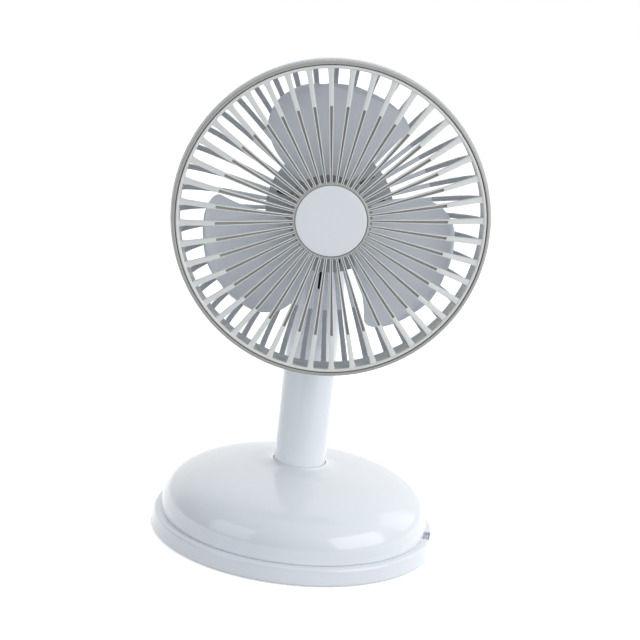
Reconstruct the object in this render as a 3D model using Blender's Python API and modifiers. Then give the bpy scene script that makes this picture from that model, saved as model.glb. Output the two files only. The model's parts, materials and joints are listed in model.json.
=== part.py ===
"""Desk fan: a turned weighted base, a swivelling stem, a tilting round head and a three-blade impeller.

Frame: origin at the centre of the underside, +Z up, the fan blows towards -Y.
Head pieces are built about their own axis: local +Z runs forwards, local +Y runs up.
"""

import math

import bmesh
import bpy
from mathutils import Matrix

# ---- driving dimensions, in metres ----
GAP = 0.0003                # clearance kept between two touching pieces
HEAD_HEIGHT = 0.1952        # tilt pivot and impeller axis above the table

BASE_RADIUS = 0.0823        # widest line of the tray, at the table
LEDGE_RADIUS = 0.0803       # outer edge of the ledge round the dome
LEDGE_HEIGHT = 0.0100
DOME_RADIUS = 0.0770
DOME_RISE = 0.0313
DOME_POWER = 2.9            # squareness of the dome's section
SHELL_WALL = 0.002
COLLAR_RADIUS = 0.0159
COLLAR_TOP = 0.0439
TRAY_FLOOR = 0.0040
LIP_RADIUS = 0.0726         # inside of the lip that stands up inside the dome
LIP_TOP = 0.0129
PAD_RADIUS = 0.0603
PAD_THICKNESS = 0.0016

STEM_RADIUS = 0.0148
STEM_BORE = 0.0123
FLANGE_RADIUS = 0.0200
COLLAR_UNDERSIDE = 0.0324    # flat seat for the bush and the retainer, inside the dome
FLANGE_TOP = 0.0307
FLANGE_BOTTOM = 0.0277
FORK_HALF = 0.0040          # half the width of the fork that takes the bracket's lug

GUARD_PITCHES = 44          # bars in each guard
GUARD_PHASE = math.radians(-1.9)
REAR_PHASE = math.radians(-4.5)
HOUSING_RADIUS = 0.0833
HOUSING_WALL = 0.0020
HOUSING_FRONT = 0.0600      # front edge of the rear housing, ahead of the pivot
HOUSING_BACK = 0.0270       # flat back of the rear housing, ahead of the pivot
CREASE_RADIUS = 0.0560
HUB_PLATE_RADIUS = 0.0335
TRIM_RADIUS = 0.0825
TRIM_FRONT = 0.0660
GRILLE_RADIUS = 0.0803
GRILLE_OPENING = 0.0774
DISC_RADIUS = 0.01865

HUB_RADIUS = 0.0220
BLADE_COUNT = 3
BLADE_THICKNESS = 0.0012
SHAFT_RADIUS = 0.0015

PIVOT_RADIUS = 0.0020       # shank of the tilt bolt
LUG_HALF = 0.0025
LUG_RADIUS = 0.0070

SWITCH_ANGLE = math.radians(-11)
SWITCH_TRAVEL = 0.004
NOTCH_RADIUS = LEDGE_RADIUS - 0.0041    # back wall of the slide's notch in the tray's edge

BASE_STEPS = 40
SMALL_STEPS = 20


# ---- scene, materials and building helpers ----
def clear_scene():
    for obj in list(bpy.data.objects):
        bpy.data.objects.remove(obj)


def new_collection(name):
    collection = bpy.data.collections.new(name)
    bpy.context.scene.collection.children.link(collection)
    return collection


def make_material(name, color, roughness, metallic=0.0):
    material = bpy.data.materials.new(name)
    material.use_nodes = True
    shader = material.node_tree.nodes["Principled BSDF"]
    shader.inputs["Base Color"].default_value = (*color, 1.0)
    shader.inputs["Roughness"].default_value = roughness
    shader.inputs["Metallic"].default_value = metallic
    material.diffuse_color = (*color, 1.0)
    return material


def add_empty(name, location=(0, 0, 0), rotation=(0, 0, 0)):
    empty = bpy.data.objects.new(name, None)
    parts.objects.link(empty)
    empty.location = location
    empty.rotation_euler = rotation
    return empty


def add_part(name, mesh, finish, parent, location=(0, 0, 0), rotation=(0, 0, 0)):
    """Link a visible sub-part with a material of its own."""
    obj = bpy.data.objects.new(name, mesh)
    parts.objects.link(obj)
    obj.parent = parent
    obj.location = location
    obj.rotation_euler = rotation
    obj.data.materials.append(make_material(name + "_finish", *FINISHES[finish]))
    return obj


def add_tool(name, mesh, parent, location=(0, 0, 0), rotation=(0, 0, 0)):
    """Link a helper solid, which is cut from a part or joined to it."""
    obj = bpy.data.objects.new(name, mesh)
    tools.objects.link(obj)
    obj.parent = parent
    obj.location = location
    obj.rotation_euler = rotation
    obj.hide_render = True
    obj.display_type = "WIRE"
    return obj


def combine(target, tool, operation):
    modifier = target.modifiers.new(operation.lower() + "_" + tool.name, "BOOLEAN")
    modifier.operation = operation
    modifier.object = tool
    modifier.solver = "EXACT"
    return target


def profile_mesh(name, points, closed):
    """A turned part's section as a chain of edges; points are (radius, height)."""
    mesh = bpy.data.meshes.new(name)
    last = len(points) if closed else len(points) - 1
    edges = [(i, (i + 1) % len(points)) for i in range(last)]
    mesh.from_pydata([(r, 0.0, z) for r, z in points], edges, [])
    return mesh


def spin_profile(obj, steps):
    screw = obj.modifiers.new("turn", "SCREW")
    screw.axis = "Z"
    screw.steps = steps
    screw.render_steps = steps
    screw.use_merge_vertices = True
    screw.merge_threshold = 0.00001
    screw.use_smooth_shade = True
    return obj


def turned(name, points, finish, parent, steps=SMALL_STEPS, closed=False, **place):
    """A turned part. An open profile starts and ends on the axis; a closed one is a ring."""
    return spin_profile(add_part(name, profile_mesh(name, points, closed), finish, parent, **place), steps)


def turned_tool(name, points, parent, steps=SMALL_STEPS, closed=False, **place):
    return spin_profile(add_tool(name, profile_mesh(name, points, closed), parent, **place), steps)


def ring_points(inner, outer, low, high):
    return [(inner, high), (outer, high), (outer, low), (inner, low)]


def finish_bmesh(name, bm):
    mesh = bpy.data.meshes.new(name)
    bm.to_mesh(mesh)
    bm.free()
    return mesh


def add_box(bm, low, high):
    """Add a box between two corners to a bmesh."""
    corners = bmesh.ops.create_cube(bm, size=1.0)["verts"]
    for vert in corners:
        vert.co = [low[i] if vert.co[i] < 0 else high[i] for i in range(3)]
    return corners


def box_mesh(name, boxes):
    bm = bmesh.new()
    for low, high in boxes:
        add_box(bm, low, high)
    return finish_bmesh(name, bm)


def add_post(bm, center, radius, low, high, segments):
    """Add an upright cylinder to a bmesh."""
    verts = bmesh.ops.create_cone(
        bm, cap_ends=True, segments=segments, radius1=radius, radius2=radius, depth=high - low)["verts"]
    bmesh.ops.translate(bm, verts=verts, vec=(center[0], center[1], (low + high) / 2))


def post_mesh(name, centers, radius, low, high, segments=16):
    bm = bmesh.new()
    for center in centers:
        add_post(bm, center, radius, low, high, segments)
    return finish_bmesh(name, bm)


def around(radius, count, start=0.0):
    """Points spread evenly on a circle."""
    angles = [start + 2 * math.pi * i / count for i in range(count)]
    return [(radius * math.cos(a), radius * math.sin(a)) for a in angles]


def mesh_of(obj):
    """The evaluated mesh of a helper object, which is then removed."""
    graph = bpy.context.evaluated_depsgraph_get()
    mesh = bpy.data.meshes.new_from_object(obj.evaluated_get(graph))
    bpy.data.objects.remove(obj)
    bm = bmesh.new()
    bm.from_mesh(mesh)
    bmesh.ops.remove_doubles(bm, verts=bm.verts, dist=0.000001)
    bm.to_mesh(mesh)
    bm.free()
    mesh.materials.clear()
    return mesh


def plate_mesh(name, outline, thickness):
    """A flat outline in the XY plane, thickened evenly to both sides."""
    curve = bpy.data.curves.new(name, "CURVE")
    curve.dimensions = "2D"
    curve.fill_mode = "BOTH"
    curve.extrude = thickness / 2
    spline = curve.splines.new("POLY")
    spline.points.add(len(outline) - 1)
    for point, (x, y) in zip(spline.points, outline):
        point.co = (x, y, 0.0, 1.0)
    spline.use_cyclic_u = True
    helper = bpy.data.objects.new(name, curve)
    tools.objects.link(helper)
    return mesh_of(helper)


def wire(name, route, radius, finish, parent):
    """A round lead along a few route points, smoothed with a Catmull-Rom curve."""
    ends = [route[0]] + route + [route[-1]]
    points = []
    for i in range(1, len(ends) - 2):
        p0, p1, p2, p3 = ends[i - 1:i + 3]
        for step in range(3):
            t = step / 3
            points.append([
                0.5 * (2 * b + (c - a) * t + (2 * a - 5 * b + 4 * c - d) * t ** 2
                       + (3 * b - a - 3 * c + d) * t ** 3)
                for a, b, c, d in zip(p0, p1, p2, p3)])
    points.append(route[-1])
    curve = bpy.data.curves.new(name, "CURVE")
    curve.dimensions = "3D"
    curve.bevel_depth = radius
    curve.bevel_resolution = 1
    curve.use_fill_caps = True
    spline = curve.splines.new("POLY")
    spline.points.add(len(points) - 1)
    for point, co in zip(spline.points, points):
        point.co = (*co, 1.0)
    return add_part(name, curve, finish, parent)


# ---- base ----
def dome_point(angle, inset):
    """A point on the dome's section: angle 0 at the crease, 90 degrees at the top."""
    radius = DOME_RADIUS - inset
    rise = DOME_RISE - inset
    power = 2 / DOME_POWER
    return (radius * math.cos(angle) ** power, LEDGE_HEIGHT + rise * math.sin(angle) ** power)


def dome_height(radius, inset):
    ratio = (radius / (DOME_RADIUS - inset)) ** DOME_POWER
    return LEDGE_HEIGHT + (DOME_RISE - inset) * (1 - ratio) ** (1 / DOME_POWER)


def dome_section(inset, stop_radius, count):
    """Dome points from stop_radius, near the collar, down to the crease."""
    start = math.acos((stop_radius / (DOME_RADIUS - inset)) ** (DOME_POWER / 2))
    return [dome_point(start * (1 - (i / count)), inset) for i in range(count)] + [
        (DOME_RADIUS - inset, LEDGE_HEIGHT + GAP)]


def collar_fillet(stop_radius):
    """The concave sweep from the collar down on to the dome."""
    foot = dome_height(stop_radius, 0.0)
    top = COLLAR_TOP - 0.0016
    sweep = []
    for i in range(4):
        angle = math.pi / 2 * i / 4
        sweep.append((stop_radius - (stop_radius - COLLAR_RADIUS) * math.cos(angle),
                      top - (top - foot) * math.sin(angle)))
    return sweep


BOSS_CENTERS = around(0.067, 4, math.pi / 4)


def build_base_tray(base):
    profile = [
        (0, TRAY_FLOOR), (LIP_RADIUS, TRAY_FLOOR), (LIP_RADIUS, LIP_TOP), (LIP_RADIUS + 0.0016, LIP_TOP),
        (LIP_RADIUS + 0.0016, LEDGE_HEIGHT), (LEDGE_RADIUS, LEDGE_HEIGHT - 0.0002),
        (LEDGE_RADIUS + 0.0008, 0.0090), (BASE_RADIUS - 0.0004, 0.0040),
        (BASE_RADIUS, 0.0012), (BASE_RADIUS - 0.0004, 0.0005), (PAD_RADIUS + GAP, 0.0005),
        (PAD_RADIUS + GAP, PAD_THICKNESS + GAP), (0, PAD_THICKNESS + GAP)]
    tray = turned("base_tray", profile, "white_plastic", base, steps=BASE_STEPS)
    standoffs = post_mesh("board_standoffs", [(-0.011, 0.060), (0.011, 0.060)], 0.0022, 0.0035, 0.0115, 12)
    combine(tray, add_tool("board_standoffs", standoffs, base), "UNION")
    holes = post_mesh("tray_screw_holes", BOSS_CENTERS, 0.0016, -0.001, 0.005, 12)
    combine(tray, add_tool("tray_screw_holes", holes, base), "DIFFERENCE")
    sinks = post_mesh("tray_screw_sinks", BOSS_CENTERS, 0.0032, -0.001, 0.0025)
    combine(tray, add_tool("tray_screw_sinks", sinks, base), "DIFFERENCE")
    notch = box_mesh("switch_notch", [((NOTCH_RADIUS, -0.0060, 0.0059), (LEDGE_RADIUS - 0.0004, 0.0060, 0.0115))])
    turn = (0, 0, SWITCH_ANGLE)
    combine(tray, add_tool("switch_notch", notch, base, rotation=turn), "DIFFERENCE")
    window = box_mesh("switch_window", [((0.0705, -0.0046, 0.0068), (NOTCH_RADIUS + 0.0006, 0.0046, 0.0097))])
    combine(tray, add_tool("switch_window", window, base, rotation=turn), "DIFFERENCE")


def build_base_shell(base):
    sweep_radius = 0.028
    bore = STEM_RADIUS + GAP
    profile = [(bore, COLLAR_TOP), (COLLAR_RADIUS, COLLAR_TOP)]
    profile += collar_fillet(sweep_radius)
    profile += dome_section(0.0, sweep_radius, 6)
    profile += dome_section(SHELL_WALL, sweep_radius, 6)[::-1]
    profile += [(sweep_radius, COLLAR_UNDERSIDE), (bore, COLLAR_UNDERSIDE)]
    shell = turned("base_shell", profile, "white_plastic", base, steps=BASE_STEPS, closed=True)

    bosses = add_tool("shell_bosses", post_mesh("shell_bosses", BOSS_CENTERS, 0.0035, 0.0046, 0.040, 16), base)
    limit = [(0, LEDGE_HEIGHT + DOME_RISE - 0.001)] + dome_section(0.001, 0.010, 8)
    limit += [(DOME_RADIUS - 0.001, 0.002), (0, 0.002)]
    combine(bosses, turned_tool("dome_limit", limit, base, steps=BASE_STEPS), "INTERSECT")
    combine(shell, bosses, "UNION")
    pilots = post_mesh("shell_pilots", BOSS_CENTERS, 0.0016, 0.004, 0.0140, 12)
    combine(shell, add_tool("shell_pilots", pilots, base), "DIFFERENCE")
    pilots = post_mesh("retainer_pilots", RETAINER_SCREWS, 0.0012, 0.030, 0.0360, 10)
    combine(shell, add_tool("retainer_pilots", pilots, base), "DIFFERENCE")
    inlet = box_mesh("inlet_opening", [((-0.0049, 0.067, 0.0134), (0.0049, 0.080, 0.0172))])
    combine(shell, add_tool("inlet_opening", inlet, base), "DIFFERENCE")


RETAINER_SCREWS = around(0.0248, 3, math.pi / 2)


def build_neck_retainer(base):
    """The cup that holds the stem's flange, with two stops that limit the swivel."""
    seat = COLLAR_UNDERSIDE - GAP
    floor = FLANGE_BOTTOM - 0.0014
    profile = [(0.0206, seat), (0.0270, seat), (0.0270, seat - 0.002), (0.0226, seat - 0.002),
               (0.0226, floor - 0.002), (0.0143, floor - 0.002), (0.0143, floor), (0.0206, floor)]
    retainer = turned("neck_retainer", profile, "dark_plastic", base, steps=28, closed=True)
    holes = post_mesh("retainer_holes", RETAINER_SCREWS, 0.0012, seat - 0.003, seat + 0.001, 10)
    combine(retainer, add_tool("retainer_holes", holes, base), "DIFFERENCE")
    stop_angle = math.radians(45 + 14)
    for side in (-1, 1):
        stop = box_mesh("swivel_stop", [((-0.0012, 0.0108, floor - 0.0018), (0.0012, 0.0150, floor - 0.0002))])
        tool = add_tool("swivel_stop", stop, base, rotation=(0, 0, side * stop_angle))
        combine(retainer, tool, "UNION")


def screw_profile(shank, tip, seat, head, under):
    """A plain machine screw standing on its head: shank radius, tip, seat, head radius, underside."""
    return [(0, tip), (shank * 0.7, tip), (shank, tip - 0.0006), (shank, seat), (head, seat),
            (head, under + 0.0003), (head * 0.85, under), (0, under)]


def build_base_fasteners(base):
    for number, (x, y) in enumerate(BOSS_CENTERS, 1):
        turned("base_screw_%d" % number, screw_profile(0.0013, 0.0130, 0.0022, 0.0029, 0.0009),
               "steel", base, steps=12, location=(x, y, 0))
    for number, (x, y) in enumerate(RETAINER_SCREWS, 1):
        turned("retainer_screw_%d" % number, screw_profile(0.0009, 0.0356, 0.0298, 0.0018, 0.0285),
               "steel", base, steps=10, location=(x, y, 0))


def build_battery(base):
    cell_radius = 0.0092
    cell_half = 0.0325
    cell_height = 0.0176
    for name, y in (("front", -0.0335), ("rear", 0.0335)):
        cradle_mesh = box_mesh("cradle", [((-0.030, y - 0.0085, 0.0066), (0.030, y + 0.0085, 0.0120))])
        cradle = add_part("battery_cradle_" + name, cradle_mesh, "dark_plastic", base)
        bed = [(0, 0.040), (cell_radius + GAP, 0.040), (cell_radius + GAP, -0.040), (0, -0.040)]
        along = {"location": (0, y, cell_height), "rotation": (0, math.pi / 2, 0)}
        combine(cradle, turned_tool("cell_bed", bed, base, **along), "DIFFERENCE")
        cell = [(0, cell_half + 0.0008), (0.0028, cell_half + 0.0008), (0.0028, cell_half),
                (cell_radius - 0.0006, cell_half), (cell_radius, cell_half - 0.0006),
                (cell_radius, -cell_half), (0, -cell_half)]
        turned("battery_cell_" + name, cell, "cell_wrap", base, **along)


def build_electronics(base):
    board = box_mesh("board", [((-0.015, 0.0462, 0.0118), (0.015, 0.0697, 0.0134))])
    add_part("circuit_board", board, "circuit_green", base)
    port = add_part("charge_port", box_mesh("port", [((-0.0045, 0.0660, 0.0137), (0.0045, 0.0760, 0.0169))]),
                    "steel", base)
    mouth = box_mesh("port_mouth", [((-0.0041, 0.0690, 0.0141), (0.0041, 0.0780, 0.0165))])
    combine(port, add_tool("port_mouth", mouth, base), "DIFFERENCE")
    bevel = port.modifiers.new("soft_edges", "BEVEL")
    bevel.width = 0.0001
    bevel.segments = 1
    wire("battery_lead", [
        (-0.0336, -0.0335, 0.0176), (-0.0375, -0.0300, 0.0165), (-0.0390, -0.0100, 0.0130),
        (-0.0390, 0.0180, 0.0128), (-0.0360, 0.0400, 0.0138), (-0.0240, 0.0520, 0.0147),
        (-0.0130, 0.0550, 0.0144)], 0.0007, "lead_black", base)
    wire("switch_lead", [
        (0.0620, -0.0121, 0.0098), (0.0582, -0.0040, 0.0102), (0.0560, 0.0140, 0.0106),
        (0.0500, 0.0320, 0.0118), (0.0360, 0.0480, 0.0136), (0.0240, 0.0560, 0.0145),
        (0.0130, 0.0575, 0.0144)], 0.0007, "lead_black", base)


def build_switch(switch_axis, base):
    """The slide switch, in a frame whose +X is radial and whose +Y is the slide's travel."""
    turn = (0, 0, SWITCH_ANGLE)
    body = box_mesh("switch_body", [((0.0644, -0.0050, 0.0068), (0.0708, 0.0050, 0.0108))])
    add_part("switch_body", body, "dark_plastic", base, rotation=turn)
    knob_length = 0.0070
    low_end = -SWITCH_TRAVEL / 2 - knob_length / 2
    back, front = NOTCH_RADIUS + 0.0004, LEDGE_RADIUS - 0.0008
    knob = box_mesh("slide_knob", [((back, low_end, 0.0064), (front, low_end + knob_length, 0.0097))])
    knob_part = add_part("slide_knob", knob, "switch_grey", switch_axis)
    stem = box_mesh("knob_stem", [((0.0712, -SWITCH_TRAVEL / 2 - 0.0012, 0.0073),
                                   (back + 0.0005, -SWITCH_TRAVEL / 2 + 0.0012, 0.0092))])
    combine(knob_part, add_tool("knob_stem", stem, switch_axis), "UNION")
    grooves = []
    for i in range(4):
        y = low_end + knob_length * (i + 1) / 5
        grooves.append(((back - 0.0007, y - 0.0003, 0.0093), (front + 0.0008, y + 0.0003, 0.0105)))
    combine(knob_part, add_tool("knob_grooves", box_mesh("knob_grooves", grooves), switch_axis), "DIFFERENCE")


def build_base(base, switch_axis):
    pad = [(0, PAD_THICKNESS), (PAD_RADIUS - 0.0003, PAD_THICKNESS), (PAD_RADIUS, PAD_THICKNESS - 0.0003),
           (PAD_RADIUS, 0.0003), (PAD_RADIUS - 0.0003, 0), (0, 0)]
    turned("foot_pad", pad, "rubber", base, steps=36)
    build_base_tray(base)
    build_base_shell(base)
    plate = turned("weight_plate", [(0, 0.0063), (0.0620, 0.0063), (0.0620, 0.0043), (0, 0.0043)],
                   "steel", base, steps=36)
    room = box_mesh("board_room", [((-0.07, 0.0445, 0.003), (0.07, 0.07, 0.008))])
    combine(plate, add_tool("board_room", room, base), "DIFFERENCE")
    build_neck_retainer(base)
    turned("neck_bush", ring_points(STEM_RADIUS + GAP, 0.0198, FLANGE_TOP + GAP, COLLAR_UNDERSIDE - GAP),
           "bearing_plastic", base, closed=True)
    build_battery(base)
    build_electronics(base)
    build_switch(switch_axis, base)
    build_base_fasteners(base)


# ---- stem ----
def build_neck_tube(neck):
    dome = [(STEM_RADIUS * math.sin(a), HEAD_HEIGHT + STEM_RADIUS * math.cos(a))
            for a in [math.pi / 2 * i / 5 for i in range(6)]]
    profile = dome + [
        (STEM_RADIUS, FLANGE_TOP), (FLANGE_RADIUS, FLANGE_TOP), (FLANGE_RADIUS, FLANGE_BOTTOM),
        (0.0105, FLANGE_BOTTOM), (0.0105, 0.0340), (STEM_BORE, 0.0360), (STEM_BORE, 0.1720), (0, 0.1720)]
    tube = turned("neck_tube", profile, "white_plastic", neck, steps=28)
    fork = box_mesh("fork_slot", [((-FORK_HALF, -0.02, HEAD_HEIGHT - 0.0112), (FORK_HALF, 0.02, 0.215))])
    combine(tube, add_tool("fork_slot", fork, neck), "DIFFERENCE")
    lead_slot = box_mesh("lead_slot", [((-0.0012, -0.018, 0.1480), (0.0012, -0.0050, 0.1860))])
    combine(tube, add_tool("lead_slot", lead_slot, neck), "DIFFERENCE")
    across = {"location": (0, 0, HEAD_HEIGHT), "rotation": (0, math.pi / 2, 0)}
    hole = post_mesh("pivot_hole", [(0, 0)], PIVOT_RADIUS + GAP, -0.016, 0.016)
    combine(tube, add_tool("pivot_hole", hole, neck, **across), "DIFFERENCE")
    bm = bmesh.new()
    add_post(bm, (0, 0), 0.0040, 0.0090, 0.018, 20)
    add_post(bm, (0, 0), 0.0040, -0.018, -0.0090, 20)
    combine(tube, add_tool("pivot_sinks", finish_bmesh("pivot_sinks", bm), neck, **across), "DIFFERENCE")
    peg = post_mesh("swivel_peg", [(0, 0.0126)], 0.0014, FLANGE_BOTTOM - 0.0031, FLANGE_TOP - 0.001, 12)
    combine(tube, add_tool("swivel_peg", peg, neck), "UNION")


def build_wave_washer(neck):
    helper = turned_tool("wave_washer", ring_points(0.0150, 0.0198, -0.0002, 0.0002), neck, steps=24, closed=True)
    mesh = mesh_of(helper)
    for vert in mesh.vertices:
        vert.co.z += FLANGE_BOTTOM - 0.0007 + 0.00015 * math.sin(3 * math.atan2(vert.co.y, vert.co.x))
    add_part("wave_washer", mesh, "steel", neck)


def build_tilt_joint(neck):
    across = {"location": (0, 0, HEAD_HEIGHT), "rotation": (0, math.pi / 2, 0)}
    bolt = [(0, 0.0112), (0.0026, 0.0112), (0.0034, 0.0104), (0.0034, 0.0093), (PIVOT_RADIUS, 0.0093),
            (PIVOT_RADIUS, -0.0110), (PIVOT_RADIUS - 0.0004, -0.0115), (0, -0.0115)]
    turned("tilt_bolt", bolt, "steel", neck, steps=16, **across)
    turned("tilt_nut", ring_points(PIVOT_RADIUS + GAP, 0.0037, -0.0110, -0.0093),
           "steel", neck, steps=6, closed=True, **across)
    washer = ring_points(PIVOT_RADIUS + GAP, 0.0065, LUG_HALF + GAP, FORK_HALF - GAP)
    mirrored = [(r, -z) for r, z in washer][::-1]
    turned("friction_washer_right", washer, "bearing_plastic", neck, closed=True, **across)
    turned("friction_washer_left", mirrored, "bearing_plastic", neck, closed=True, **across)


def build_neck(neck):
    build_neck_tube(neck)
    build_wave_washer(neck)
    build_tilt_joint(neck)
    wire("motor_lead", [
        (0, 0.0020, 0.0280), (0, -0.0010, 0.0500), (0.0015, -0.0040, 0.0900), (0, -0.0050, 0.1300),
        (0, -0.0085, 0.1600), (0, -0.0105, 0.1700), (0, -0.0110, 0.1810)], 0.0008, "lead_black", neck)


# ---- head ----
def guard_slots(name, parent, inner, outer, low, high, half_inner, half_outer, phase):
    """The wedge-shaped spaces between the bars of a guard, as one set of cutters."""
    bm = bmesh.new()
    half_pitch = math.pi / GUARD_PITCHES
    for i in range(GUARD_PITCHES):
        middle = phase + half_pitch * (2 * i + 1)
        for vert in bmesh.ops.create_cube(bm, size=1.0)["verts"]:
            radius, half = (inner, half_inner) if vert.co.x < 0 else (outer, half_outer)
            spread = half_pitch - math.asin(half / radius)
            angle = middle + (spread if vert.co.y > 0 else -spread)
            vert.co = (radius * math.cos(angle), radius * math.sin(angle), low if vert.co.z < 0 else high)
    return add_tool(name, finish_bmesh(name, bm), parent)


def housing_curve(inset, count):
    """The rear housing's rounded corner, from its back crease out to its straight side."""
    middle = 0.030
    width = HOUSING_RADIUS - middle - inset
    edge = 0.0500
    crease = CREASE_RADIUS - middle
    depth = (edge - HOUSING_BACK) / math.sqrt(1 - (crease / (HOUSING_RADIUS - middle)) ** 2) - inset
    first = math.asin(min(1.0, crease / width))
    curve = []
    for i in range(count + 1):
        angle = first + (math.pi / 2 - first) * i / count
        curve.append((middle + width * math.sin(angle), edge - depth * math.cos(angle)))
    return curve


def build_rear_housing(head):
    inner = housing_curve(HOUSING_WALL, 3)
    outer = housing_curve(0.0, 3)
    floor = inner[0][1]
    profile = [(0, floor)] + inner + [(HOUSING_RADIUS - HOUSING_WALL, HOUSING_FRONT),
                                      (HOUSING_RADIUS, HOUSING_FRONT)]
    profile += outer[::-1] + [(0, HOUSING_BACK)]
    half_pitch = math.pi / GUARD_PITCHES
    housing = turned("rear_housing", profile, "white_plastic", head, steps=GUARD_PITCHES,
                     rotation=(0, 0, REAR_PHASE + half_pitch))
    slots = guard_slots("rear_slots", head, HUB_PLATE_RADIUS, 0.0900, 0.0200, 0.0480, 0.0011, 0.0014, REAR_PHASE)
    combine(housing, slots, "DIFFERENCE")
    holes = post_mesh("bracket_holes", BRACKET_SCREWS, 0.0015, 0.020, 0.035, 12)
    combine(housing, add_tool("bracket_holes", holes, head), "DIFFERENCE")
    bm = bmesh.new()
    vents = 12
    for i in range(vents):
        corners = add_box(bm, (0.0215, -0.0012, 0.0200), (0.0300, 0.0012, 0.0350))
        turn = Matrix.Rotation(2 * math.pi * (i + 0.5) / vents, 3, "Z")
        bmesh.ops.rotate(bm, verts=corners, cent=(0, 0, 0), matrix=turn)
    combine(housing, add_tool("hub_vents", finish_bmesh("hub_vents", bm), head), "DIFFERENCE")


def build_front_grille(head):
    profile = [
        (0, 0.0617), (DISC_RADIUS + GAP, 0.0617), (DISC_RADIUS + GAP, 0.0632), (0.0196, 0.0632),
        (0.0202, 0.0630), (0.0330, 0.0647), (0.0470, 0.0664), (0.0610, 0.0674), (0.0768, 0.0652),
        (0.0782, 0.0658), (GRILLE_RADIUS, 0.0655), (GRILLE_RADIUS, 0.0590), (0.0788, 0.0590),
        (0.0788, 0.0622), (0.0610, 0.0644), (0.0470, 0.0634), (0.0330, 0.0618), (0.0202, 0.0602), (0, 0.0602)]
    half_pitch = math.pi / GUARD_PITCHES
    grille = turned("front_grille", profile, "silver_paint", head, steps=GUARD_PITCHES,
                    rotation=(0, 0, GUARD_PHASE + half_pitch))
    slots = guard_slots("grille_slots", head, 0.0205, GRILLE_OPENING, 0.0550, 0.0750,
                        0.0006, 0.00135, GUARD_PHASE)
    combine(grille, slots, "DIFFERENCE")


def build_trim_ring(head):
    profile = [(0.0812, TRIM_FRONT), (0.0820, TRIM_FRONT - 0.0003), (TRIM_RADIUS, TRIM_FRONT - 0.0012),
               (TRIM_RADIUS, HOUSING_FRONT + GAP), (0.08065, HOUSING_FRONT + GAP), (0.08065, TRIM_FRONT - 0.0004)]
    turned("trim_ring", profile, "trim_silver", head, steps=GUARD_PITCHES, closed=True,
           rotation=(0, 0, GUARD_PHASE + math.pi / GUARD_PITCHES))


def build_pivot_bracket(head):
    """The round foot behind the motor and the lug that the tilt bolt passes through."""
    foot = turned("pivot_bracket", [(0, 0.0267), (0.0150, 0.0267), (0.0150, 0.0240), (0.0138, 0.0227), (0, 0.0227)],
                  "white_plastic", head, steps=32)
    outline = [(0.0250, -0.0082), (0.0250, 0.0082), (0.0225, LUG_RADIUS)]
    for i in range(9):
        angle = math.pi / 2 + math.pi * i / 8
        outline.append((LUG_RADIUS * math.cos(angle), LUG_RADIUS * math.sin(angle)))
    outline.append((0.0225, -LUG_RADIUS))
    lug = add_tool("bracket_lug", plate_mesh("bracket_lug", outline, 2 * LUG_HALF), head,
                   rotation=(0, -math.pi / 2, 0))
    combine(foot, lug, "UNION")
    hole = post_mesh("lug_hole", [(0, 0)], PIVOT_RADIUS + GAP, -0.006, 0.006)
    combine(foot, add_tool("lug_hole", hole, head, rotation=(0, math.pi / 2, 0)), "DIFFERENCE")
    holes = post_mesh("foot_holes", BRACKET_SCREWS, 0.0015, 0.020, 0.035, 12)
    combine(foot, add_tool("foot_holes", holes, head), "DIFFERENCE")


BRACKET_SCREWS = around(0.0112, 3, math.pi / 2)


def build_motor(head):
    base_profile = [(0.0031, 0.0475), (0.0043, 0.0475), (0.0043, 0.0314), (0.0180, 0.0314),
                    (0.0180, 0.0293), (0.0031, 0.0293)]
    motor_base = turned("motor_base", base_profile, "dark_plastic", head, closed=True)
    holes = post_mesh("motor_base_holes", BRACKET_SCREWS, 0.0015, 0.028, 0.033, 12)
    combine(motor_base, add_tool("motor_base_holes", holes, head), "DIFFERENCE")
    race = (SHAFT_RADIUS + 0.0001, 0.0028)
    turned("bearing_rear", ring_points(*race, 0.0300, 0.0330), "steel", head, steps=16, closed=True)
    turned("bearing_front", ring_points(*race, 0.0442, 0.0472), "steel", head, steps=16, closed=True)
    turned("motor_board", ring_points(0.0047, 0.0150, 0.0326, 0.0334), "circuit_green", head, closed=True)
    stator = turned("motor_stator", ring_points(0.0047, 0.0138, 0.0345, 0.0430), "copper", head, steps=24, closed=True)
    slots = post_mesh("stator_slots", around(0.0114, 6), 0.0026, 0.030, 0.048, 12)
    combine(stator, add_tool("stator_slots", slots, head), "DIFFERENCE")
    for number, (x, y) in enumerate(BRACKET_SCREWS, 1):
        turned("bracket_screw_%d" % number, screw_profile(0.0012, 0.0322, 0.0224, 0.0022, 0.0210),
               "steel", head, steps=12, location=(x, y, 0))


def build_head(head):
    build_rear_housing(head)
    build_front_grille(head)
    build_trim_ring(head)
    disc = [(0, 0.0634), (0.0120, 0.0633), (DISC_RADIUS - 0.0004, 0.0631), (DISC_RADIUS, 0.0628),
            (DISC_RADIUS, 0.0620), (0, 0.0620)]
    turned("hub_disc", disc, "white_plastic", head, steps=36)
    build_pivot_bracket(head)
    build_motor(head)


# ---- impeller ----
BLADE_EDGES = [  # radius, angle of the trailing edge and of the leading edge, in degrees
    (0.0205, 67, 137), (0.0306, 62, 139), (0.0450, 58.5, 137.5), (0.0560, 55, 132),
    (0.0601, 53, 128.5), (0.0643, 57.5, 123.5), (0.0674, 67, 118), (0.0690, 84, 108)]


def blade_span(radius):
    """Edge angles at a radius, read between the outline's points."""
    for low, high in zip(BLADE_EDGES, BLADE_EDGES[1:]):
        if radius <= high[0]:
            t = (radius - low[0]) / (high[0] - low[0])
            return [math.radians(a + (b - a) * t) for a, b in zip(low[1:], high[1:])]
    return [math.radians(a) for a in BLADE_EDGES[-1][1:]]


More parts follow.
